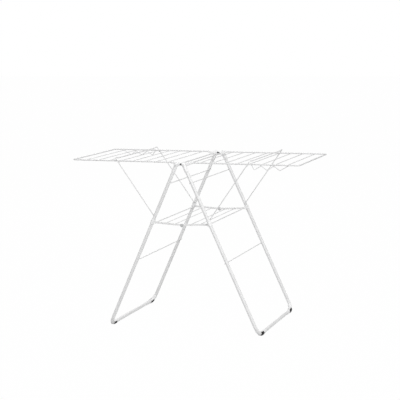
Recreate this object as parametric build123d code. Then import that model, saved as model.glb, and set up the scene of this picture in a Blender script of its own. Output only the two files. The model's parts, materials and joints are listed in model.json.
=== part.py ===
from build123d import *
from math import hypot
import os

# A folding clothes airer. +Z is up, X runs along the wings and Y from front to back.
# The origin is on the floor, under the middle of the airer. Sizes are in millimetres.
# Every piece is drawn for the right-hand side; the left-hand side is the same piece turned
# half a turn about Z, so the two height racks lie on opposite rails.

# Wings
wing_reach = 632.0  # pivot rod to end bar, between centres
rail_d = 7.0
rail_corner_r = 18.0
rail_rise = 10.0  # rails above the pivot rods
wing_wire_count = 8
wing_wire_d = 4.0

# Height rack under one rail of each wing
rack_d = 4.0
rack_depth = 30.0
rack_bend_r = 5.0
rack_start = 15.5  # each flat end beyond the wing wire before it
rack_flat = 13.0  # length welded along the rail at each end
rack_lean = 0.48  # place of a valley between its two wires
rack_notches = 3
rack_peak_gap = 1.0  # peak below the wire above it

# Top pivots
pivot_half = 22.0  # middle of the airer to each pivot rod
pivot_height = 917.5
pivot_rod_d = 6.0
rod_head_d = 12.0
rod_head_t = 3.2
link_r = 10.5
link_t = 10.0
link_round = 1.5
hinge_gap = 2.75  # link to the cap and to the knuckle beside it
knuckle_t = 14.0
knuckle_eye_r = 9.5
knuckle_sleeve_r = 6.5
knuckle_round = 2.0
knuckle_grip = 27.0  # rail held in the knuckle's sleeve
rail_setback = 13.0  # pivot rod to the rail's end

# Legs
leg_half = 317.0  # middle of the airer to each leg
foot_half = 435.0  # middle of the airer to each floor bar
tube_d = 18.0
tube_wall = 1.2
leg_bend_r = 50.0
tube_top = 9.0  # tube above the pivot rod
cap_wall = 1.5
cap_grip = 42.0
cap_crown = 5.0
cap_round = 7.0
cap_lip_round = 0.6
leg_wire_d = 4.5
upper_wire_along = 103.0  # measured down the leg from the pivot rod
lower_wire_along = 573.0
leg_wire_overhang = 5.0

# Feet
sole_t = 1.5
sole_w = 14.0
pad_straight = 35.0  # pad on the straight of the floor bar, up to its bend
pad_turn = 14.0  # degrees of the bend that the pad reaches round
pad_gap = 0.2  # degrees between the pad's end and the clip
foot_clip_lead = 20.0  # clip past the pad, along the bar
foot_clip_turn = 62.0  # degrees of the bend that the clip reaches round
foot_clip_t = 1.4
foot_split = 3.0  # clip and pad part this far above the bar's middle

# Props under the wings
prop_d = 5.0
prop_along = 326.0
prop_past_wire = 14.9  # top of the arches beyond the wing wire where the rack starts
prop_rise = 18.5  # arches above the rails
prop_bar_drop = 3.5  # top bar below the arches
prop_arch_inset = 12.0  # rail to the inner end of its arch
prop_arch_run = 12.0  # arch down to the top bar, along the bar
prop_foot_bend_r = 6.0
prop_foot_gap = 1.5  # foot bend to the bush's flange
prop_top_bend_r = 9.0
prop_arch_bend_r = 12.0
prop_tip_inset = 2.0
seat_d = 5.0
seat_gap = 2.0
seat_round = 1.5
bush_d = 8.4
bush_flange_d = 13.0
bush_flange_t = 1.5
bush_length = 6.0

# Shelf
shelf_along = 346.0
shelf_inset = 13.0  # shelf rod inside the legs
shelf_sag = 9.0  # middle of the shelf below its ends
shelf_rod_d = 5.0
shelf_bar_h = 10.0
shelf_bar_t = 3.0
shelf_lane_gap = 2.0
shelf_wire_d = 3.6
shelf_wire_places = (45.0, 99.0)  # measured from the middle hinge
shelf_clip_l = 24.0
shelf_clip_t = 2.6
shelf_clip_round = 1.0
shelf_lug_r = 5.5
shelf_boss_r = 4.5
shelf_lug_outer = 1.0  # lug past the leg's middle
rivet_d = 4.0
rivet_head_d = 7.5
rivet_head_t = 1.6
hinge_cap_r = 8.5
hinge_cap_drop = 3.0
hinge_cap_t = 2.2
hinge_cap_round = 0.8

# Fits
running_fit = 0.08  # radial, pin in a turning piece
fixed_fit = 0.05  # radial, pieces held together
clip_fit = 0.12  # radial, plastic on a tube
turn_gap = 0.4  # between pieces that turn past each other

# Places worked out from the sizes
rail_height = pivot_height + rail_rise
wing_end = pivot_half + wing_reach
wire_pitch = wing_reach / (wing_wire_count + 1)
wing_wire_drop = wing_wire_d / 2
bar_height = tube_d / 2 + sole_t
leg_run = foot_half - pivot_half
leg_drop = pivot_height - bar_height
leg_length = hypot(leg_run, leg_drop)
lean_sin = leg_run / leg_length
lean_cos = leg_drop / leg_length
leg_down = Vector(lean_sin, 0, -lean_cos)
rack_wire_x = pivot_half + (wing_wire_count - rack_notches) * wire_pitch
cap_r = tube_d / 2 + cap_wall
link_inner = leg_half - cap_r - hinge_gap - link_t
rail_half = link_inner - hinge_gap - knuckle_t / 2
bend_start = leg_half - leg_bend_r
prop_half = leg_half - tube_d / 2 - bush_flange_t - prop_foot_gap - prop_foot_bend_r
prop_top_x = rack_wire_x + prop_past_wire
shelf_lane_outer = leg_half - tube_d / 2 - shelf_clip_t - turn_gap
FRONT = -1
BACK = 1


def on_leg(along, y, inward=0.0):
    """A point on the right leg's line: down from the pivot rod, and inward from the leg's middle."""
    x = pivot_half + along * lean_sin - inward * lean_cos
    z = pivot_height - along * lean_cos - inward * lean_sin
    return Vector(x, y, z)


def span(side, inner, outer):
    """The Y range of a piece that lies between two distances from the middle."""
    return (inner, outer) if side == BACK else (-outer, -inner)


def bar_y(x, z, d, y_from, y_to):
    """A round bar along Y."""
    plane = Plane(origin=(x, y_from, z), z_dir=(0, 1, 0))
    return plane * Cylinder(d / 2, y_to - y_from, align=(Align.CENTER, Align.CENTER, Align.MIN))


def slab(profile, y_from, y_to):
    """A profile drawn in X and Z, made solid between two places along Y."""
    return extrude(Plane.XZ.offset(-y_to) * profile, y_to - y_from)


def disc(point, radius):
    """A round outline about a point of the XZ plane."""
    return Pos(point.X, point.Z) * Circle(radius)


def round_link(point_a, radius_a, point_b, radius_b):
    """The outline of a link with two round ends."""
    ends = disc(point_a, radius_a).edges() + disc(point_b, radius_b).edges()
    return make_hull(ends)


def bent_wire(points, radii, d):
    """A round wire along straight runs joined by bends."""
    path = FilletPolyline(*points, radius=radii)
    section = Plane(origin=path @ 0, z_dir=path % 0) * Circle(d / 2)
    return sweep(section, path=path)


def along_leg(radius, start, end, y):
    """A round bar on the leg's own line."""
    plane = Plane(origin=on_leg(start, y), z_dir=leg_down)
    return plane * Cylinder(radius, end - start, align=(Align.CENTER, Align.CENTER, Align.MIN))


pivot = Vector(pivot_half, 0, pivot_height)
prop_foot = on_leg(prop_along, 0)
prop_top = Vector(prop_top_x, 0, rail_height + prop_rise)
shelf_pivot = on_leg(shelf_along, 0, shelf_inset)
shelf_middle = Vector(0, 0, shelf_pivot.Z - shelf_sag)
shelf_half = hypot(shelf_pivot.X, shelf_sag)


def leg_tube():
    """Two legs and the floor bar, bent from one tube, with holes for the rod and the prop's bushes."""
    corners = [
        on_leg(-tube_top, -leg_half),
        on_leg(leg_length, -leg_half),
        on_leg(leg_length, leg_half),
        on_leg(-tube_top, leg_half),
    ]
    path = FilletPolyline(*corners, radius=leg_bend_r)
    section = Circle(tube_d / 2) - Circle(tube_d / 2 - tube_wall)
    tube = sweep(Plane(origin=path @ 0, z_dir=path % 0) * section, path=path)
    rod_hole_d = pivot_rod_d + 2 * fixed_fit
    tube -= bar_y(pivot.X, pivot.Z, rod_hole_d, -leg_half - tube_d, leg_half + tube_d)
    bush_hole_d = bush_d + 2 * fixed_fit
    tube -= bar_y(prop_foot.X, prop_foot.Z, bush_hole_d, -leg_half, leg_half)
    return tube


def leg_wire(along):
    """A wire laid across the inner faces of both legs."""
    seat = on_leg(along, 0, (tube_d + leg_wire_d) / 2)
    reach = leg_half + leg_wire_overhang
    return bar_y(seat.X, seat.Z, leg_wire_d, -reach, reach)


def leg_cap(side):
    """The rounded sleeve on a leg's top end."""
    y = side * leg_half
    blank = Cylinder(cap_r, cap_grip + tube_top + cap_crown, align=(Align.CENTER, Align.CENTER, Align.MIN))
    blank = fillet(blank.edges().group_by(Axis.Z)[-1], cap_round)
    blank = fillet(blank.edges().group_by(Axis.Z)[0], cap_lip_round)
    cap = Plane(origin=on_leg(cap_grip, y), z_dir=-leg_down) * blank
    cap -= along_leg(tube_d / 2 + clip_fit, -tube_top - fixed_fit, cap_grip, y)
    rod_hole_d = pivot_rod_d + 2 * fixed_fit
    y_from, y_to = span(side, leg_half - cap_r, leg_half + cap_r)
    return cap - bar_y(pivot.X, pivot.Z, rod_hole_d, y_from, y_to)


def pivot_rod():
    """The rod that a leg frame and its wing turn on, with a domed head at each end."""
    seat = leg_half + cap_r + turn_gap / 2
    rod = bar_y(pivot.X, pivot.Z, pivot_rod_d, -seat, seat)
    for side in (FRONT, BACK):
        head = Cylinder(rod_head_d / 2, rod_head_t, align=(Align.CENTER, Align.CENTER, Align.MIN))
        head = fillet(head.edges().group_by(Axis.Z)[-1], rod_head_t * 0.7)
        rod += Plane(origin=(pivot.X, side * seat, pivot.Z), z_dir=(0, side, 0)) * head
    return rod


def hinge_link(side):
    """The link that holds both pivot rods apart."""
    outline = round_link(pivot, link_r, Vector(-pivot.X, 0, pivot.Z), link_r)
    y_from, y_to = span(side, link_inner, link_inner + link_t)
    link = slab(outline, y_from, y_to)
    link = fillet(link.edges().filter_by(GeomType.CIRCLE), link_round)
    for x in (-pivot.X, pivot.X):
        link -= bar_y(x, pivot.Z, pivot_rod_d + 2 * running_fit, y_from, y_to)
    return link


def wing_rail():
    """Both rails and the end bar, bent from one wire."""
    start = pivot_half + rail_setback
    points = [
        (start, -rail_half, rail_height),
        (wing_end, -rail_half, rail_height),
        (wing_end, rail_half, rail_height),
        (start, rail_half, rail_height),
    ]
    return bent_wire(points, rail_corner_r, rail_d)


def wing_wires():
    """The drying wires, each between the rails' inner sides."""
    reach = rail_half - rail_d / 2
    z = rail_height - wing_wire_drop
    wires = []
    for i in range(1, wing_wire_count + 1):
        wires.append(bar_y(pivot_half + i * wire_pitch, z, wing_wire_d, -reach, reach))
    return Compound(children=wires)


def wing_knuckle(side):
    """The moulded eye and sleeve that hang a rail's inner end on the pivot rod."""
    sleeve_end = Vector(pivot_half + rail_setback + knuckle_grip - knuckle_sleeve_r, 0, rail_height)
    y_from, y_to = span(side, rail_half - knuckle_t / 2, rail_half + knuckle_t / 2)
    knuckle = slab(round_link(pivot, knuckle_eye_r, sleeve_end, knuckle_sleeve_r), y_from, y_to)
    knuckle = fillet(knuckle.edges().filter_by(Axis.Y, reverse=True), knuckle_round)
    knuckle -= bar_y(pivot.X, pivot.Z, pivot_rod_d + 2 * running_fit, y_from, y_to)
    mouth = Plane(origin=(pivot_half + rail_setback - fixed_fit, side * rail_half, rail_height), z_dir=(1, 0, 0))
    bore = Cylinder(rail_d / 2 + fixed_fit, 2 * knuckle_grip, align=(Align.CENTER, Align.CENTER, Align.MIN))
    return knuckle - mouth * bore


def height_rack():
    """The zigzag wire under the front rail whose notches set the wing's height."""
    y = -(rail_half - (rail_d + rack_d) / 2)
    start = rack_wire_x + rack_start
    peak = rail_height - wing_wire_drop - (wing_wire_d + rack_d) / 2 - rack_peak_gap
    valley = rail_height - rack_depth
    points = [(start - rack_flat, y, rail_height), (start, y, rail_height)]
    for i in range(rack_notches):
        wire_x = rack_wire_x + i * wire_pitch
        points.append((wire_x + wire_pitch * rack_lean, y, valley))
        if i < rack_notches - 1:
            points.append((wire_x + wire_pitch, y, peak))
    end = rack_wire_x + rack_notches * wire_pitch + rack_start
    points += [(end, y, rail_height), (end + rack_flat, y, rail_height)]
    return bent_wire(points, rack_bend_r, rack_d)


def prop_at(height):
    """The point of a prop's middle line at a height."""
    share = (height - prop_foot.Z) / (prop_top.Z - prop_foot.Z)
    return prop_foot + (prop_top - prop_foot) * share


def prop_wire():
    """The prop bent from one wire: two struts, an arch over each rail, and a top bar between the arches."""
    tip = leg_half - prop_tip_inset
    arch_end = rail_half - prop_arch_inset
    bar = prop_at(prop_top.Z - prop_bar_drop)
    bends = [
        (prop_foot, tip),
        (prop_foot, prop_half),
        (prop_top, prop_half),
        (prop_top, arch_end),
        (bar, arch_end - prop_arch_run),
    ]
    points = [point + Vector(0, FRONT * y, 0) for point, y in bends]
    points += [point + Vector(0, BACK * y, 0) for point, y in reversed(bends)]
    radii = [prop_foot_bend_r, prop_top_bend_r, prop_arch_bend_r, prop_arch_bend_r]
    return bent_wire(points, radii + radii[::-1], prop_d)


def prop_seats():
    """The pegs on both struts that carry the rails."""
    seat = prop_at(rail_height - (rail_d + seat_d) / 2 - seat_gap)
    pegs = []
    for side in (FRONT, BACK):
        y_from, y_to = span(side, rail_half, prop_half - prop_d / 2)
        peg = bar_y(seat.X, seat.Z, seat_d, y_from, y_to)
        tip = peg.faces().sort_by(Axis.Y)[0 if side == BACK else -1]
        pegs.append(fillet(tip.edges(), seat_round))
    return Compound(children=pegs)


def prop_bush(side):
    """The flanged bush in a leg's inner wall that the prop's foot turns in."""
    wall = leg_half - tube_d / 2
    flange = bar_y(prop_foot.X, prop_foot.Z, bush_flange_d, *span(side, wall - bush_flange_t, wall))
    sleeve = bar_y(prop_foot.X, prop_foot.Z, bush_d, *span(side, wall - bush_flange_t, wall + bush_length))
    bore = bar_y(prop_foot.X, prop_foot.Z, prop_d + 2 * running_fit, *span(side, prop_half, leg_half))
    return flange + sleeve - bore


def foot_sweep(profile, straight, turn):
    """A profile about the floor bar's middle, swept from the bar's front straight into its bend."""
    bend_middle = on_leg(leg_length - leg_bend_r, -bend_start)
    bend_plane = Plane(origin=bend_middle, x_dir=(0, -1, 0), z_dir=(lean_cos, 0, lean_sin))
    run = Line((-straight, leg_bend_r), (0, leg_bend_r))
    bend = CenterArc((0, 0), leg_bend_r, 90, -turn)
    path = bend_plane * Wire([run.edge(), bend.edge()])
    return sweep(Plane(origin=path @ 0, x_dir=(1, 0, 0), z_dir=path % 0) * profile, path=path)


def below_split(radius, height):
    """The part of a round outline about the floor bar's middle that lies below a height."""
    above = Pos(0, height) * Rectangle(2 * radius, 2 * radius, align=(Align.CENTER, Align.MIN))
    return Circle(radius) - above


def foot_clip(side):
    """The white sleeve on a corner of the leg tube, open below for the rubber pad."""
    ring = Circle(tube_d / 2 + foot_clip_t) - Circle(tube_d / 2 + clip_fit)
    clip = foot_sweep(ring, pad_straight + foot_clip_lead, foot_clip_turn)
    clip -= foot_sweep(below_split(tube_d, foot_split), pad_straight, pad_turn + pad_gap)
    return clip if side == FRONT else mirror(clip, about=Plane.XZ)


def foot_pad(side):
    """The rubber pad in the sleeve's opening, flat where it meets the floor."""
    pad = foot_sweep(below_split(bar_height, foot_split - fixed_fit), pad_straight, pad_turn)
    sole = Pos(foot_half, 0) * Rectangle(sole_w, bar_height / 2, align=(Align.CENTER, Align.MIN))
    pad += slab(sole, -bend_start, pad_straight - fixed_fit - bend_start)
    pad -= foot_sweep(Circle(tube_d / 2 + clip_fit), pad_straight, pad_turn)
    return pad if side == FRONT else mirror(pad, about=Plane.XZ)


def shelf_lane(outer_lane):
    """The distances from the middle of a shelf bar's two faces."""
    outer = shelf_lane_outer if outer_lane else shelf_lane_outer - shelf_bar_t - shelf_lane_gap
    return outer - shelf_bar_t, outer


def shelf_clip(side, outer_lane):
    """The sleeve on a leg with the lug and boss that hold the shelf rod."""
    y = side * leg_half
    ends = (shelf_along - shelf_clip_l / 2, shelf_along + shelf_clip_l / 2)
    clip = along_leg(tube_d / 2 + shelf_clip_t, *ends, y)
    clip = fillet(clip.edges().filter_by(GeomType.CIRCLE), shelf_clip_round)
    lug = round_link(shelf_pivot, shelf_lug_r, on_leg(shelf_along, 0), tube_d / 2)
    lug_inner = leg_half - tube_d / 2 - shelf_clip_t
    clip += slab(lug, *span(side, lug_inner, leg_half + shelf_lug_outer))
    boss_inner = shelf_lane(outer_lane)[1] + turn_gap / 2
    boss = span(side, boss_inner, leg_half)
    clip += bar_y(shelf_pivot.X, shelf_pivot.Z, 2 * shelf_boss_r, *boss)
    clip -= along_leg(tube_d / 2 + clip_fit, ends[0], ends[1], y)
    rod_hole_d = shelf_rod_d + 2 * fixed_fit
    return clip - bar_y(shelf_pivot.X, shelf_pivot.Z, rod_hole_d, *span(side, boss_inner, leg_half))


def shelf_rod():
    """The rod between two legs that a shelf half turns on."""
    reach = leg_half - turn_gap
    return bar_y(shelf_pivot.X, shelf_pivot.Z, shelf_rod_d, -reach, reach)


def shelf_bar(side, outer_lane):
    """A flat shelf bar from the shelf rod to the middle hinge."""
    outline = round_link(shelf_pivot, shelf_bar_h / 2, shelf_middle, shelf_bar_h / 2)
    outline -= disc(shelf_pivot, shelf_rod_d / 2 + running_fit)
    outline -= disc(shelf_middle, rivet_d / 2 + fixed_fit)
    return slab(outline, *span(side, *shelf_lane(outer_lane)))


def shelf_wires(outer_lane):
    """The wires of one shelf half, each between the two bars' inner faces."""
    reach = shelf_lane(outer_lane)[0]
    wires = []
    for place in shelf_wire_places:
        point = shelf_middle + (shelf_pivot - shelf_middle) * (place / shelf_half)
        wires.append(bar_y(point.X, point.Z, shelf_wire_d, -reach, reach))
    return Compound(children=wires)


def shelf_rivets(outer_lane):
    """The half rivets at the middle hinge; the two halves face each other between the bars."""
    inner, outer = shelf_lane(outer_lane)
    half_gap = shelf_lane_gap / 2 - turn_gap / 2
    shank = (inner - half_gap, outer) if outer_lane else (inner, outer + half_gap)
    head = (outer, outer + rivet_head_t) if outer_lane else (inner - rivet_head_t, inner)
    rivets = []
    for side in (FRONT, BACK):
        rivet = bar_y(shelf_middle.X, shelf_middle.Z, rivet_d, *span(side, *shank))
        rivet += bar_y(shelf_middle.X, shelf_middle.Z, rivet_head_d, *span(side, *head))
        rivets.append(rivet)
    return Compound(children=rivets)


def hinge_cap(side):
    """The moulded cover on the outside of the middle hinge."""
    outer = shelf_lane(True)[1]
    low = Vector(shelf_middle.X, 0, shelf_middle.Z - hinge_cap_drop)
    outline = round_link(shelf_middle, hinge_cap_r, low, hinge_cap_r)
    cap = slab(outline, *span(side, outer, outer + hinge_cap_t))
    face = cap.faces().sort_by(Axis.Y)[-1 if side == BACK else 0]
    cap = fillet(face.edges(), hinge_cap_round)
    pocket = span(side, outer, outer + rivet_head_t + fixed_fit)
    return cap - bar_y(shelf_middle.X, shelf_middle.Z, rivet_head_d + 4 * fixed_fit, *pocket)


def turned(piece):
    """The same piece on the other side of the airer."""
    return Rot(0, 0, 180) * piece


def leg_pieces(outer_lane):
    """The pieces of one leg frame, by name."""
    pieces = {
        "leg_tube": leg_tube(),
        "leg_upper_wire": leg_wire(upper_wire_along),
        "leg_lower_wire": leg_wire(lower_wire_along),
        "pivot_rod": pivot_rod(),
        "shelf_rod": shelf_rod(),
    }
    for name, side in (("front", FRONT), ("back", BACK)):
        pieces[name + "_leg_cap"] = leg_cap(side)
        pieces[name + "_prop_bush"] = prop_bush(side)
        pieces[name + "_shelf_clip"] = shelf_clip(side, outer_lane)
        pieces[name + "_foot_clip"] = foot_clip(side)
        pieces[name + "_foot_pad"] = foot_pad(side)
    return pieces


def wing_pieces():
    """The pieces of one wing and of its prop, by name."""
    return {
        "wing_rail": wing_rail(),
        "wing_wires": wing_wires(),
        "front_wing_knuckle": wing_knuckle(FRONT),
        "back_wing_knuckle": wing_knuckle(BACK),
        "height_rack": height_rack(),
        "prop_wire": prop_wire(),
        "prop_seats": prop_seats(),
    }


def shelf_pieces(outer_lane):
    """The pieces of one shelf half, by name."""
    pieces = {
        "front_shelf_bar": shelf_bar(FRONT, outer_lane),
        "back_shelf_bar": shelf_bar(BACK, outer_lane),
        "shelf_wires": shelf_wires(outer_lane),
        "shelf_rivets": shelf_rivets(outer_lane),
    }
    if outer_lane:
        pieces["front_hinge_cap"] = hinge_cap(FRONT)
        pieces["back_hinge_cap"] = hinge_cap(BACK)
    return pieces


def half_turn_name(name):
    """The name that a piece has after half a turn: front and back change places."""
    if name.startswith("front_"):
        return name.replace("front_", "back_", 1)
    return name.replace("back_", "front_", 1) if name.startswith("back_") else name


def airer():
    """Every piece of the airer, by node name."""
    nodes = {"front_hinge_link": hinge_link(FRONT), "back_hinge_link": hinge_link(BACK)}
    for name, piece in {**leg_pieces(False), **wing_pieces(), **shelf_pieces(False)}.items():
        nodes["right_" + name] = piece
    for name, piece in {**leg_pieces(True), **wing_pieces(), **shelf_pieces(True)}.items():
        nodes["left_" + half_turn_name(name)] = turned(piece)
    return nodes


os.makedirs("parts", exist_ok=True)
for node, piece in airer().items():
    export_step(piece, os.path.join("parts", node + ".step"))
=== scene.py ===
import json
import math

import bmesh
import bpy
from mathutils import Matrix, Vector


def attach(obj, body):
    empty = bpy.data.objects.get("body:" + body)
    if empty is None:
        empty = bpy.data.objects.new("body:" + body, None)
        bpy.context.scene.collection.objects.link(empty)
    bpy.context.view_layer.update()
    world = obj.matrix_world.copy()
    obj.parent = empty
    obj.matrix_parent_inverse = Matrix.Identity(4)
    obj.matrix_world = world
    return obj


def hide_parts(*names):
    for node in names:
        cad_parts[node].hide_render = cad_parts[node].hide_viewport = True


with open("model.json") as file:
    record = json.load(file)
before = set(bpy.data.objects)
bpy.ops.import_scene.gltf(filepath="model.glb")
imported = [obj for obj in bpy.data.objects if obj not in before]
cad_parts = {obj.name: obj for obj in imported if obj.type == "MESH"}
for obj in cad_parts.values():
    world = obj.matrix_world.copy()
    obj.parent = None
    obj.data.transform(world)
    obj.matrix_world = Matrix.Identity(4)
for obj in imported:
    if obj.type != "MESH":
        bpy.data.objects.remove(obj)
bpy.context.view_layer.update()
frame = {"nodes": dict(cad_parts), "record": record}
nodes = frame["nodes"]

# Sizes of the airer in metres and its angles, the same as in the part's source.
PIVOT_HALF = 0.022
PIVOT_Z = 0.9175
RAIL_Z = 0.9275
RAIL_HALF = 0.284
RAIL_R = 0.0035
WING_REACH = 0.632
WIRE_COUNT = 8
WIRE_PITCH = WING_REACH / (WIRE_COUNT + 1)
WIRE_R = 0.002
WIRE_DROP = 0.002
RACK_FLAT = 0.013
RACK_START = 0.0155
RACK_WIRES = (5, 8)
LEG_HALF = 0.317
LEG_R = 0.009
LEG_LINE = Vector((0.413, 0.0, -0.907)).normalized()
LEG_INWARD = Vector((LEG_LINE.z, 0.0, -LEG_LINE.x))
LEG_WIRE_PLACES = (0.103, 0.573)
PROP_FOOT = 0.326
PROP_TOP = Vector((0.388, 0.0, 0.946))
STRUT_FACE = 0.2965
PEG_R = 0.0025
PEG_GAP = 0.002
PEG_Z = RAIL_Z - RAIL_R - PEG_R - PEG_GAP
SHELF_ALONG = 0.346
SHELF_INSET = 0.013
SHELF_SAG = 0.009
SHELF_WIRE_R = 0.0018
SHELF_WIRE_PLACES = (0.045, 0.099)
SHELF_BAR_FACE = {"left": 0.302, "right": 0.297}
LINK_Y = 0.29875
LINK_T = 0.010
LINK_BORE_R = 0.00308
FOOT_X = 0.435
BAR_Z = 0.0105
BEND_START = 0.267
BEND_R = 0.050
CLIP_R = 0.0104
CLIP_OPENING = 0.035
CLIP_SPLIT = math.radians(73.0)
SIDES = (("left", -1), ("right", 1))
ENDS = (("front", -1), ("back", 1))

# Sizes in metres, angles and step counts of what is modelled in this script alone.
COLLAR_SINK = 0.0006
COLLAR_BITE = 0.0004
COLLAR_REACH = 0.0032
COLLAR_RISES = ((0.0011, -COLLAR_BITE), (0.0010, 0.0005), (0.0006, 0.0014), (0.0002, 0.0026))
BEAD_STAND = 0.0002
RACK_BEAD = (0.0046, 0.0015, 0.0011)
RACK_BEAD_SPREAD = 0.0013
RACK_BEAD_SHARE = 0.55
LEG_BEAD = (0.0013, 0.0042, 0.0011)
LEG_BEAD_SPREAD = 0.0016
LINK_EYE_R = 0.0095
LINK_EYE_SOFT = 0.0012
LINK_EYE_STEPS = 40
ARC_SHARE = 0.3
WAIST_INSET = 0.0028
WAIST_SIZE = (2 * (PIVOT_HALF - LINK_BORE_R - WAIST_INSET), 0.0086, 0.0105)
WAIST_SOFT = 0.0016
INSERT_SIZE = (0.015, 0.0096, 0.0082)
INSERT_RISE = 0.0022
INSERT_SOFT = 0.0018
BAND_BORE_R = 0.00915
BAND_STEPS = 26
GRIP_R = 0.0120
GRIP_RUN = 0.016
GRIP_TURN = math.radians(28.0)
GRIP_TURN_STEPS = 5
GRIP_TOP = math.radians(26.0)
GRIP_WRAP = math.radians(264.0)
GRIP_SOFT = 0.0004
CLIP_SOFT = 0.0002
BOSS_SIZE = (0.0085, 0.0050, 0.0021)
BOSS_ALONG = 0.0155
BOSS_RISE = 0.0124
BOSS_SLOPE = math.radians(11.7)
SOFTENED_TURN = 0.9
SHARP_TURN = math.radians(40.0)
MERGE_DISTANCE = 1e-6


# Node groups: each puts out what changes over a surface, and every material sets its own values.

SKIN_OUTPUTS = (
    ("Color", "NodeSocketColor"),
    ("Roughness", "NodeSocketFloat"),
    ("Height", "NodeSocketFloat"),
)


def new_group(name, inputs, outputs):
    """An empty shader node group with named sockets, and its two end nodes."""
    group = bpy.data.node_groups.new(name, "ShaderNodeTree")
    for label, kind, value in inputs:
        socket = group.interface.new_socket(label, in_out="INPUT", socket_type=kind)
        if value is not None:
            socket.default_value = value
    for label, kind in outputs:
        group.interface.new_socket(label, in_out="OUTPUT", socket_type=kind)
    return group, group.nodes.new("NodeGroupInput"), group.nodes.new("NodeGroupOutput")


def feed(tree, socket, value):
    """Sets a socket from another socket or from a plain value."""
    if isinstance(value, bpy.types.NodeSocket):
        tree.links.new(value, socket)
    else:
        socket.default_value = value


def noise(tree, vector, scale, detail=2.0, roughness=0.5):
    """A noise texture's value output."""
    node = tree.nodes.new("ShaderNodeTexNoise")
    node.inputs["Detail"].default_value = detail
    node.inputs["Roughness"].default_value = roughness
    tree.links.new(vector, node.inputs["Vector"])
    feed(tree, node.inputs["Scale"], scale)
    return node.outputs["Fac"]


def remap(tree, value, given, wanted=(0.0, 1.0)):
    """A value moved from one range to another and kept inside it."""
    node = tree.nodes.new("ShaderNodeMapRange")
    tree.links.new(value, node.inputs["Value"])
    for label, bound in zip(("From Min", "From Max", "To Min", "To Max"), (*given, *wanted)):
        node.inputs[label].default_value = bound
    return node.outputs["Result"]


def maths(tree, operation, a, b):
    """One sum on two values or sockets."""
    node = tree.nodes.new("ShaderNodeMath")
    node.operation = operation
    for socket, value in zip(node.inputs, (a, b)):
        feed(tree, socket, value)
    return node.outputs[0]


def blend_colour(tree, share, a, b):
    """Two colours mixed by a share."""
    node = tree.nodes.new("ShaderNodeMix")
    node.data_type = "RGBA"
    tree.links.new(share, node.inputs["Factor"])
    feed(tree, node.inputs["A"], a)
    feed(tree, node.inputs["B"], b)
    return node.outputs["Result"]


def put_out_skin(group, end, colour, matt, height):
    """The three outputs that a surface group has."""
    group.links.new(colour, end.inputs["Color"])
    group.links.new(matt, end.inputs["Roughness"])
    group.links.new(height, end.inputs["Height"])


def make_coat_group():
    """Powder coat: a soft mottle in the colour, and the fine orange peel of a baked coat."""
    group, start, end = new_group(
        "powder coat",
        (
            ("Position", "NodeSocketVector", None),
            ("Coat", "NodeSocketColor", (0.8, 0.8, 0.8, 1.0)),
            ("Thin Coat", "NodeSocketColor", (0.7, 0.7, 0.7, 1.0)),
            ("Gloss", "NodeSocketFloat", 0.35),
            ("Peel Scale", "NodeSocketFloat", 600.0),
        ),
        SKIN_OUTPUTS,
    )
    cloud_share = 0.55
    fleck_share = 0.4
    cloud_matt = 0.09
    position = start.outputs["Position"]
    cloud = remap(group, noise(group, position, scale=9.0, detail=4.0), given=(0.35, 0.7))
    flecks = remap(group, noise(group, position, scale=160.0, detail=3.0), given=(0.62, 0.74))
    thin_cloud = maths(group, "MULTIPLY", cloud, cloud_share)
    thin_flecks = maths(group, "MULTIPLY", flecks, fleck_share)
    share = maths(group, "MAXIMUM", thin_cloud, thin_flecks)
    colour = blend_colour(group, share, start.outputs["Coat"], start.outputs["Thin Coat"])
    matt = maths(group, "ADD", start.outputs["Gloss"], maths(group, "MULTIPLY", cloud, cloud_matt))
    peel = noise(group, position, start.outputs["Peel Scale"])
    put_out_skin(group, end, colour, matt, peel)
    return group


def make_moulding_group():
    """Moulded plastic or rubber: a spark-eroded grain with flow clouds from the mould."""
    group, start, end = new_group(
        "moulded skin",
        (
            ("Position", "NodeSocketVector", None),
            ("Body", "NodeSocketColor", (0.5, 0.5, 0.5, 1.0)),
            ("Flow", "NodeSocketColor", (0.45, 0.45, 0.45, 1.0)),
            ("Gloss", "NodeSocketFloat", 0.5),
            ("Grain Scale", "NodeSocketFloat", 1400.0),
        ),
        SKIN_OUTPUTS,
    )
    grain_matt = 0.12
    position = start.outputs["Position"]
    flow_noise = noise(group, position, scale=45.0, detail=3.0, roughness=0.6)
    flow = remap(group, flow_noise, given=(0.38, 0.66))
    cells = group.nodes.new("ShaderNodeTexVoronoi")
    group.links.new(position, cells.inputs["Vector"])
    group.links.new(start.outputs["Grain Scale"], cells.inputs["Scale"])
    grain = cells.outputs["Distance"]
    colour = blend_colour(group, flow, start.outputs["Body"], start.outputs["Flow"])
    matt = maths(group, "ADD", start.outputs["Gloss"], maths(group, "MULTIPLY", grain, grain_matt))
    put_out_skin(group, end, colour, matt, grain)
    return group


def make_handling_group():
    """Rubbed and dusty patches from use, as a mask."""
    group, start, end = new_group(
        "handling marks",
        (
            ("Position", "NodeSocketVector", None),
            ("Patch Scale", "NodeSocketFloat", 20.0),
            ("Amount", "NodeSocketFloat", 0.3),
        ),
        (("Mask", "NodeSocketFloat"),),
    )
    position = start.outputs["Position"]
    patch_noise = noise(group, position, start.outputs["Patch Scale"], detail=5.0, roughness=0.62)
    patches = remap(group, patch_noise, given=(0.5, 0.68))
    streaks = remap(group, noise(group, position, scale=260.0), given=(0.4, 0.7), wanted=(0.35, 1.0))
    rubbed = maths(group, "MULTIPLY", patches, streaks)
    mask = maths(group, "MULTIPLY", rubbed, start.outputs["Amount"])
    group.links.new(mask, end.inputs["Mask"])
    return group


coat_group = make_coat_group()
moulding_group = make_moulding_group()
handling_group = make_handling_group()


# Finishes

MARK_MATT = 0.25


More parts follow.
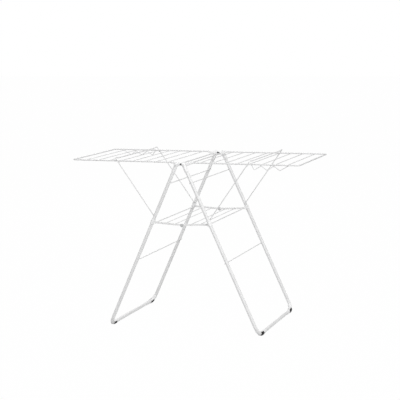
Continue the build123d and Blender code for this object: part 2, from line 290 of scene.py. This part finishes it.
def place_group(tree, group, position, values):
    """A group in a material with that material's own values."""
    node = tree.nodes.new("ShaderNodeGroup")
    node.node_tree = group
    tree.links.new(position, node.inputs["Position"])
    for label, value in values.items():
        node.inputs[label].default_value = value
    return node


def surface(name, group, skin_values, marks, mark_colour, bump, settings):
    """A material from one surface group and the handling marks, on Object coordinates."""
    material = bpy.data.materials.new(name)
    material.use_nodes = True
    tree = material.node_tree
    shader = tree.nodes["Principled BSDF"]
    position = tree.nodes.new("ShaderNodeTexCoord").outputs["Object"]
    skin = place_group(tree, group, position, skin_values)
    mask = place_group(tree, handling_group, position, marks).outputs["Mask"]
    colour = blend_colour(tree, mask, skin.outputs["Color"], mark_colour)
    matt = maths(tree, "ADD", skin.outputs["Roughness"], maths(tree, "MULTIPLY", mask, MARK_MATT))
    raised = tree.nodes.new("ShaderNodeBump")
    for label, value in bump.items():
        raised.inputs[label].default_value = value
    tree.links.new(skin.outputs["Height"], raised.inputs["Height"])
    tree.links.new(colour, shader.inputs["Base Color"])
    tree.links.new(matt, shader.inputs["Roughness"])
    tree.links.new(raised.outputs["Normal"], shader.inputs["Normal"])
    for label, value in settings.items():
        shader.inputs[label].default_value = value
    return material


white_coat = surface(
    "white powder coat",
    coat_group,
    skin_values={
        "Coat": (0.86, 0.86, 0.86, 1.0),
        "Thin Coat": (0.81, 0.81, 0.815, 1.0),
        "Gloss": 0.34,
        "Peel Scale": 700.0,
    },
    marks={"Patch Scale": 16.0, "Amount": 0.35},
    mark_colour=(0.56, 0.555, 0.54, 1.0),
    bump={"Strength": 0.18, "Distance": 0.0004},
    settings={"Specular IOR Level": 0.5, "Coat Weight": 0.12, "Coat Roughness": 0.25},
)
# Painted shade: the wires get a darker copy of the white coat, standing in for the shade that thin wires
# show.
shaded_wire_coat = surface(
    "white coat darkened on wires as painted shade",
    coat_group,
    skin_values={
        "Coat": (0.76, 0.76, 0.762, 1.0),
        "Thin Coat": (0.71, 0.71, 0.715, 1.0),
        "Gloss": 0.3,
        "Peel Scale": 500.0,
    },
    marks={"Patch Scale": 24.0, "Amount": 0.3},
    mark_colour=(0.5, 0.495, 0.48, 1.0),
    bump={"Strength": 0.05, "Distance": 0.0002},
    settings={"Specular IOR Level": 0.5, "Coat Weight": 0.1, "Coat Roughness": 0.3},
)
white_plastic = surface(
    "white moulded plastic",
    moulding_group,
    skin_values={
        "Body": (0.91, 0.91, 0.91, 1.0),
        "Flow": (0.88, 0.88, 0.885, 1.0),
        "Gloss": 0.42,
        "Grain Scale": 1500.0,
    },
    marks={"Patch Scale": 40.0, "Amount": 0.3},
    mark_colour=(0.6, 0.595, 0.58, 1.0),
    bump={"Strength": 0.12, "Distance": 0.0003},
    settings={"Specular IOR Level": 0.5},
)
grey_plastic = surface(
    "grey moulded plastic",
    moulding_group,
    skin_values={
        "Body": (0.075, 0.08, 0.085, 1.0),
        "Flow": (0.055, 0.058, 0.063, 1.0),
        "Gloss": 0.5,
        "Grain Scale": 1300.0,
    },
    marks={"Patch Scale": 60.0, "Amount": 0.35},
    mark_colour=(0.16, 0.16, 0.16, 1.0),
    bump={"Strength": 0.25, "Distance": 0.0004},
    settings={"Specular IOR Level": 0.45},
)
pale_plastic = surface(
    "pale grey moulded plastic",
    moulding_group,
    skin_values={
        "Body": (0.58, 0.585, 0.59, 1.0),
        "Flow": (0.53, 0.535, 0.54, 1.0),
        "Gloss": 0.45,
        "Grain Scale": 1400.0,
    },
    marks={"Patch Scale": 50.0, "Amount": 0.3},
    mark_colour=(0.45, 0.445, 0.44, 1.0),
    bump={"Strength": 0.2, "Distance": 0.0003},
    settings={"Specular IOR Level": 0.5},
)
black_rubber = surface(
    "black rubber",
    moulding_group,
    skin_values={
        "Body": (0.014, 0.014, 0.015, 1.0),
        "Flow": (0.022, 0.022, 0.023, 1.0),
        "Gloss": 0.68,
        "Grain Scale": 900.0,
    },
    marks={"Patch Scale": 55.0, "Amount": 0.5},
    mark_colour=(0.07, 0.066, 0.06, 1.0),
    bump={"Strength": 0.4, "Distance": 0.0006},
    settings={"Specular IOR Level": 0.35},
)
drawn_steel = surface(
    "drawn steel",
    coat_group,
    skin_values={
        "Coat": (0.6, 0.6, 0.61, 1.0),
        "Thin Coat": (0.5, 0.5, 0.51, 1.0),
        "Gloss": 0.26,
        "Peel Scale": 1600.0,
    },
    marks={"Patch Scale": 80.0, "Amount": 0.4},
    mark_colour=(0.36, 0.35, 0.34, 1.0),
    bump={"Strength": 0.2, "Distance": 0.0002},
    settings={"Metallic": 1.0},
)
FINISH_OF_SLOT = {
    "white_coated_steel": white_coat,
    "white_plastic": white_plastic,
    "grey_plastic": grey_plastic,
    "black_rubber": black_rubber,
    "steel_rivets": drawn_steel,
}
# Pieces that keep the white coat at full tone; the other white-coated steel gets the darker wire copy as
# painted shade.
POWDER_COATED = ("leg_tube", "shelf_bar")


def finish_of(name, slot):
    """A piece's finish: its slot's own, on wires a darker copy of the white coat as painted shade, or the
    paler grey of the hinge covers.
    """
    if slot == "white_coated_steel" and not name.endswith(POWDER_COATED):
        return shaded_wire_coat
    if name.endswith("hinge_cap"):
        return pale_plastic
    return FINISH_OF_SLOT[slot]


for entry in frame["record"]["subparts"]:
    mesh = nodes[entry["node"]].data
    mesh.materials.clear()
    mesh.materials.append(finish_of(entry["node"], entry["material_slot"]))


# Shared shapes

def add_piece(name, shape, body, slot):
    """A finished piece: its mesh with even normals, its finish, and the body that it rides on."""
    bmesh.ops.remove_doubles(shape, verts=shape.verts, dist=MERGE_DISTANCE)
    bmesh.ops.recalc_face_normals(shape, faces=shape.faces)
    for face in shape.faces:
        face.smooth = True
    mesh = bpy.data.meshes.new(name)
    shape.to_mesh(mesh)
    shape.free()
    mesh.set_sharp_from_angle(angle=SHARP_TURN)
    mesh.materials.append(finish_of(name, slot))
    piece = bpy.data.objects.new(name, mesh)
    bpy.context.collection.objects.link(piece)
    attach(piece, body)
    return piece


def turn_to_side(shape, sign):
    """The right-hand shape, given half a turn about Z where it belongs to the left-hand side."""
    if sign < 0:
        half_turn = Matrix.Rotation(math.pi, 3, "Z")
        bmesh.ops.rotate(shape, cent=(0.0, 0.0, 0.0), matrix=half_turn, verts=shape.verts)


def spin_ring(shape, place, axis, profile, steps=16):
    """A closed profile of (radius, distance along the axis) points, spun full circle about an axis."""
    outward = axis.orthogonal().normalized()
    ring = [shape.verts.new(place + axis * along + outward * radius) for radius, along in profile]
    edges = [shape.edges.new((ring[i - 1], ring[i])) for i in range(len(ring))]
    bmesh.ops.spin(
        shape, geom=ring + edges, cent=place, axis=axis, angle=math.tau, steps=steps, use_merge=True
    )


def rounded_block(shape, place, size, soft):
    """A block with its edges rounded."""
    made = bmesh.ops.create_cube(shape, size=1.0)
    bmesh.ops.transform(
        shape, matrix=Matrix.Translation(place) @ Matrix.Diagonal((*size, 1.0)), verts=made["verts"]
    )
    edges = {edge for vert in made["verts"] for edge in vert.link_edges}
    bmesh.ops.bevel(
        shape, geom=list(edges), offset=soft, segments=3, profile=0.5, material=-1, affect="EDGES"
    )


def low_oval(shape, place, axes, radii):
    """A low oval rise, such as a bead along a line of contact."""
    made = bmesh.ops.create_icosphere(shape, subdivisions=2, radius=1.0)
    turn = Matrix(axes).transposed().to_4x4()
    size = Matrix.Diagonal((*radii, 1.0))
    bmesh.ops.transform(shape, matrix=Matrix.Translation(place) @ turn @ size, verts=made["verts"])


def soften(shape, offset):
    """Rounds the sharp edges of a shape."""
    bmesh.ops.recalc_face_normals(shape, faces=shape.faces)
    sharp = [edge for edge in shape.edges if edge.is_manifold and edge.calc_face_angle() > SOFTENED_TURN]
    bmesh.ops.bevel(
        shape, geom=sharp, offset=offset, segments=2, profile=0.5, material=-1, affect="EDGES"
    )


# Welds

def weld_collar(shape, place, axis, wire_r):
    """The bead where a wire's end is welded to a bar: wide at the bar, running out along the wire."""
    inner = wire_r - COLLAR_BITE
    profile = [(inner, -COLLAR_BITE)]
    profile += [(wire_r + rise, along) for rise, along in COLLAR_RISES]
    profile.append((inner, COLLAR_REACH))
    spin_ring(shape, place, axis, profile)


def wing_welds():
    """The beads at the drying wires' ends, and along the flat ends of the height rack."""
    shape = bmesh.new()
    collar_y = RAIL_HALF - RAIL_R + COLLAR_SINK
    for number in range(1, WIRE_COUNT + 1):
        x = PIVOT_HALF + number * WIRE_PITCH
        for end in (-1, 1):
            place = Vector((x, end * collar_y, RAIL_Z - WIRE_DROP))
            weld_collar(shape, place, Vector((0.0, -end, 0.0)), WIRE_R)
    contact_y = RAIL_R + BEAD_STAND - RAIL_HALF
    for wire, way in zip(RACK_WIRES, (-1, 1)):
        x = PIVOT_HALF + wire * WIRE_PITCH + RACK_START + way * RACK_FLAT * RACK_BEAD_SHARE
        for side in (-1, 1):
            place = Vector((x, contact_y, RAIL_Z + side * RACK_BEAD_SPREAD))
            low_oval(shape, place, ((1, 0, 0), (0, 1, 0), (0, 0, 1)), RACK_BEAD)
    return shape


def leg_welds():
    """The beads beside each leg wire where it crosses a leg."""
    shape = bmesh.new()
    for along in LEG_WIRE_PLACES:
        middle = Vector((PIVOT_HALF, 0.0, PIVOT_Z)) + LEG_LINE * along
        for end in (-1, 1):
            contact = middle + LEG_INWARD * (LEG_R + BEAD_STAND) + Vector((0.0, end * LEG_HALF, 0.0))
            for way in (-1, 1):
                place = contact + LEG_LINE * way * LEG_BEAD_SPREAD
                low_oval(shape, place, (LEG_LINE, (0, 1, 0), LEG_INWARD), LEG_BEAD)
    return shape


def prop_welds():
    """The beads where the pegs that carry the rails meet the prop's struts."""
    shape = bmesh.new()
    foot = Vector((PIVOT_HALF, 0.0, PIVOT_Z)) + LEG_LINE * PROP_FOOT
    seat = foot.lerp(PROP_TOP, (PEG_Z - foot.z) / (PROP_TOP.z - foot.z))
    for end in (-1, 1):
        place = seat + Vector((0.0, end * STRUT_FACE, 0.0))
        weld_collar(shape, place, Vector((0.0, -end, 0.0)), PEG_R)
    return shape


def shelf_welds(face):
    """The beads where a shelf half's wires meet its two bars."""
    shape = bmesh.new()
    rod = Vector((PIVOT_HALF, 0.0, PIVOT_Z)) + LEG_LINE * SHELF_ALONG + LEG_INWARD * SHELF_INSET
    middle = Vector((0.0, 0.0, rod.z - SHELF_SAG))
    for along in SHELF_WIRE_PLACES:
        point = middle + (rod - middle).normalized() * along
        for end in (-1, 1):
            place = point + Vector((0.0, end * face, 0.0))
            weld_collar(shape, place, Vector((0.0, -end, 0.0)), SHELF_WIRE_R)
    return shape


def add_welds(side, sign):
    """The welds of one side's wing, legs, prop and shelf half."""
    for name, body, welds in (
        ("wing_welds", "wing", wing_welds()),
        ("leg_welds", "leg_frame", leg_welds()),
        ("prop_welds", "prop", prop_welds()),
        ("shelf_welds", "shelf_half", shelf_welds(SHELF_BAR_FACE[side])),
    ):
        turn_to_side(welds, sign)
        add_piece(side + "_" + name, welds, side + "_" + body, "white_coated_steel")


# Feet

def round_band(radius, top, wrap, y_from, y_to):
    """A band round the floor bar from an angle off its top, flat on the floor, and its far end."""
    shape = bmesh.new()
    start = Vector((FOOT_X, y_from, BAR_Z))
    ray = Vector((math.sin(top), 0.0, math.cos(top)))
    ends = [shape.verts.new(start + ray * r) for r in (BAND_BORE_R, radius)]
    line = shape.edges.new(ends)
    bmesh.ops.spin(
        shape, geom=ends + [line], cent=start, axis=(0.0, 1.0, 0.0), angle=wrap, steps=BAND_STEPS
    )
    for vert in shape.verts:
        vert.co.z = max(vert.co.z, 0.0)
    far_end = bmesh.ops.extrude_face_region(shape, geom=shape.faces[:])["geom"]
    corners = [item for item in far_end if isinstance(item, bmesh.types.BMVert)]
    bmesh.ops.translate(shape, verts=corners, vec=(0.0, y_to - y_from, 0.0))
    return shape, far_end


def foot_grip():
    """The rubber grip round a corner of the leg tube: high outside, low inside, flat on the floor."""
    shape, bend_face = round_band(GRIP_R, GRIP_TOP, GRIP_WRAP, GRIP_RUN - BEND_START, -BEND_START)
    middle = Vector((FOOT_X, -BEND_START, BAR_Z)) - LEG_LINE * BEND_R
    bmesh.ops.spin(
        shape, geom=bend_face, cent=middle, axis=-LEG_INWARD, angle=-GRIP_TURN, steps=GRIP_TURN_STEPS
    )
    soften(shape, GRIP_SOFT)
    return shape


def clip_floor():
    """The underside of a foot clip between the grip and the end of the clip's opening."""
    wrap = math.tau - 2 * CLIP_SPLIT
    shape, _ = round_band(CLIP_R, CLIP_SPLIT, wrap, CLIP_OPENING - BEND_START, GRIP_RUN - BEND_START)
    soften(shape, CLIP_SOFT)
    return shape


def add_feet(side, sign):
    """The grips of one leg frame in place of its pads, and the undersides of its clips."""
    for end_name, end in ENDS:
        foot = side + "_" + end_name
        grip = foot_grip()
        underside = clip_floor()
        for shape in (grip, underside):
            bmesh.ops.scale(shape, vec=(1.0, -end * sign, 1.0), verts=shape.verts)
            turn_to_side(shape, sign)
        grip_piece = add_piece(foot + "_foot_grip", grip, side + "_leg_frame", "black_rubber")
        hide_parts(foot + "_foot_pad")
        add_piece(foot + "_clip_floor", underside, side + "_leg_frame", "white_plastic")


# Knuckles and hinge links

def add_knuckle_bosses(side, sign):
    """The low moulded rise on each knuckle of a wing, over the end of its rail."""
    shape = bmesh.new()
    along = (math.cos(BOSS_SLOPE), 0.0, math.sin(BOSS_SLOPE))
    upward = (-math.sin(BOSS_SLOPE), 0.0, math.cos(BOSS_SLOPE))
    for end in (-1, 1):
        place = Vector((PIVOT_HALF + BOSS_ALONG, end * RAIL_HALF, PIVOT_Z + BOSS_RISE))
        low_oval(shape, place, (along, (0.0, 1.0, 0.0), upward), BOSS_SIZE)
    turn_to_side(shape, sign)
    add_piece(side + "_knuckle_bosses", shape, side + "_wing", "white_plastic")


def hinge_link(end):
    """A link with two round eyes on the pivot rods and a slim waist between them."""
    shape = bmesh.new()
    half = LINK_T / 2
    soft = LINK_EYE_SOFT
    profile = (
        (LINK_BORE_R, -half),
        (LINK_EYE_R - soft, -half),
        (LINK_EYE_R - soft * ARC_SHARE, -half + soft * ARC_SHARE),
        (LINK_EYE_R, -half + soft),
        (LINK_EYE_R, half - soft),
        (LINK_EYE_R - soft * ARC_SHARE, half - soft * ARC_SHARE),
        (LINK_EYE_R - soft, half),
        (LINK_BORE_R, half),
    )
    for way in (-1, 1):
        eye = Vector((way * PIVOT_HALF, end * LINK_Y, PIVOT_Z))
        spin_ring(shape, eye, Vector((0.0, 1.0, 0.0)), profile, LINK_EYE_STEPS)
    rounded_block(shape, Vector((0.0, end * LINK_Y, PIVOT_Z)), WAIST_SIZE, WAIST_SOFT)
    return shape


def link_insert(end):
    """A dark block in the middle of a link, just proud of its faces."""
    shape = bmesh.new()
    rounded_block(shape, Vector((0.0, end * LINK_Y, PIVOT_Z + INSERT_RISE)), INSERT_SIZE, INSERT_SOFT)
    return shape


def add_links():
    """The waisted links in place of the plain ones, and a dark block in each."""
    for end_name, end in ENDS:
        link = add_piece(end_name + "_waisted_link", hinge_link(end), "hinge_links", "white_plastic")
        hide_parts(end_name + "_hinge_link")
        add_piece(end_name + "_link_insert", link_insert(end), "hinge_links", "grey_plastic")


for side, sign in SIDES:
    add_feet(side, sign)
    add_knuckle_bosses(side, sign)
    add_welds(side, sign)
add_links()


# Studio

FLOOR_SIZE = 30.0
FLOOR_PAINT = (0.6, 0.6, 0.6, 1.0)
FLOOR_ROUGHNESS = 0.9
FLOOR_GLOW_SHARE = 0.99
AIR_LEVEL = 0.45
WHITE = (1.0, 1.0, 1.0, 1.0)
LIGHT_AIM = Vector((0.0, 0.0, 0.5))
CAMERA_TARGET = Vector((-0.0070, -0.0005, 0.6825))
CAMERA_DISTANCE = 6.748
CAMERA_AROUND = math.radians(20.575)
CAMERA_ABOVE = math.radians(8.375)
CAMERA_TILT = -0.0161
CAMERA_LENS = 107.66
CAMERA_SENSOR = 36.0
CAMERA_REACH = 100.0


def add_floor():
    """A wide pale floor: white to the camera, with the airer's shadow left in it."""
    shape = bmesh.new()
    bmesh.ops.create_grid(shape, x_segments=1, y_segments=1, size=FLOOR_SIZE)
    mesh = bpy.data.meshes.new("studio_floor")
    shape.to_mesh(mesh)
    shape.free()
    floor = bpy.data.objects.new("studio_floor", mesh)
    bpy.context.collection.objects.link(floor)
    material = bpy.data.materials.new("studio floor")
    material.use_nodes = True
    tree = material.node_tree
    paint = tree.nodes["Principled BSDF"]
    paint.inputs["Base Color"].default_value = FLOOR_PAINT
    paint.inputs["Roughness"].default_value = FLOOR_ROUGHNESS
    paint.inputs["Specular IOR Level"].default_value = 0.0
    glow = tree.nodes.new("ShaderNodeEmission")
    glow.inputs["Color"].default_value = WHITE
    glow.inputs["Strength"].default_value = 1.0
    rays = tree.nodes.new("ShaderNodeLightPath")
    seen = maths(tree, "MAXIMUM", rays.outputs["Is Camera Ray"], rays.outputs["Is Glossy Ray"])
    share = maths(tree, "MULTIPLY", seen, FLOOR_GLOW_SHARE)
    mix = tree.nodes.new("ShaderNodeMixShader")
    tree.links.new(share, mix.inputs["Fac"])
    tree.links.new(paint.outputs["BSDF"], mix.inputs[1])
    tree.links.new(glow.outputs["Emission"], mix.inputs[2])
    tree.links.new(mix.outputs["Shader"], tree.nodes["Material Output"].inputs["Surface"])
    mesh.materials.append(material)


def add_world():
    """Even studio air: white to the camera, a plain level of light for the rest."""
    world = bpy.data.worlds.new("studio")
    bpy.context.scene.world = world
    world.use_nodes = True
    tree = world.node_tree
    air = tree.nodes["Background"]
    air.inputs["Color"].default_value = WHITE
    rays = tree.nodes.new("ShaderNodeLightPath")
    seen = maths(tree, "MAXIMUM", rays.outputs["Is Camera Ray"], rays.outputs["Is Transmission Ray"])
    level = remap(tree, seen, given=(0.0, 1.0), wanted=(AIR_LEVEL, 1.0))
    tree.links.new(level, air.inputs["Strength"])


def add_softbox(name, place, size, watts):
    """A square soft light that faces the airer."""
    lamp = bpy.data.lights.new(name, "AREA")
    lamp.shape = "SQUARE"
    lamp.size = size
    lamp.energy = watts
    light = bpy.data.objects.new(name, lamp)
    bpy.context.collection.objects.link(light)
    light.location = place
    light.rotation_euler = (LIGHT_AIM - Vector(place)).to_track_quat("-Z", "Y").to_euler()


def add_camera():
    """The photograph's point of view: low, from the front and a little to the right."""
    level = math.cos(CAMERA_ABOVE)
    back = Vector(
        (math.sin(CAMERA_AROUND) * level, -math.cos(CAMERA_AROUND) * level, math.sin(CAMERA_ABOVE))
    )
    right = Vector((math.cos(CAMERA_AROUND), math.sin(CAMERA_AROUND), 0.0))
    up = back.cross(right)
    right_tilted = math.cos(CAMERA_TILT) * right + math.sin(CAMERA_TILT) * up
    up_tilted = math.cos(CAMERA_TILT) * up - math.sin(CAMERA_TILT) * right
    lens = bpy.data.cameras.new("photo view")
    lens.lens = CAMERA_LENS
    lens.sensor_width = CAMERA_SENSOR
    lens.clip_end = CAMERA_REACH
    camera = bpy.data.objects.new("photo view", lens)
    bpy.context.collection.objects.link(camera)
    turn = Matrix((right_tilted, up_tilted, back)).transposed().to_4x4()
    camera.matrix_world = Matrix.Translation(CAMERA_TARGET + CAMERA_DISTANCE * back) @ turn
    bpy.context.scene.camera = camera


add_floor()
add_world()
add_softbox("key", place=(3.5, -4.4, 3.8), size=2.0, watts=172.0)
add_softbox("overhead", place=(0.4, -0.8, 4.2), size=2.6, watts=40.0)
add_softbox("fill", place=(-4.0, -3.0, 2.6), size=3.0, watts=20.0)
add_softbox("rear", place=(-2.6, 4.6, 3.0), size=2.4, watts=45.0)
add_camera()
bpy.context.scene.view_settings.view_transform = "Standard"
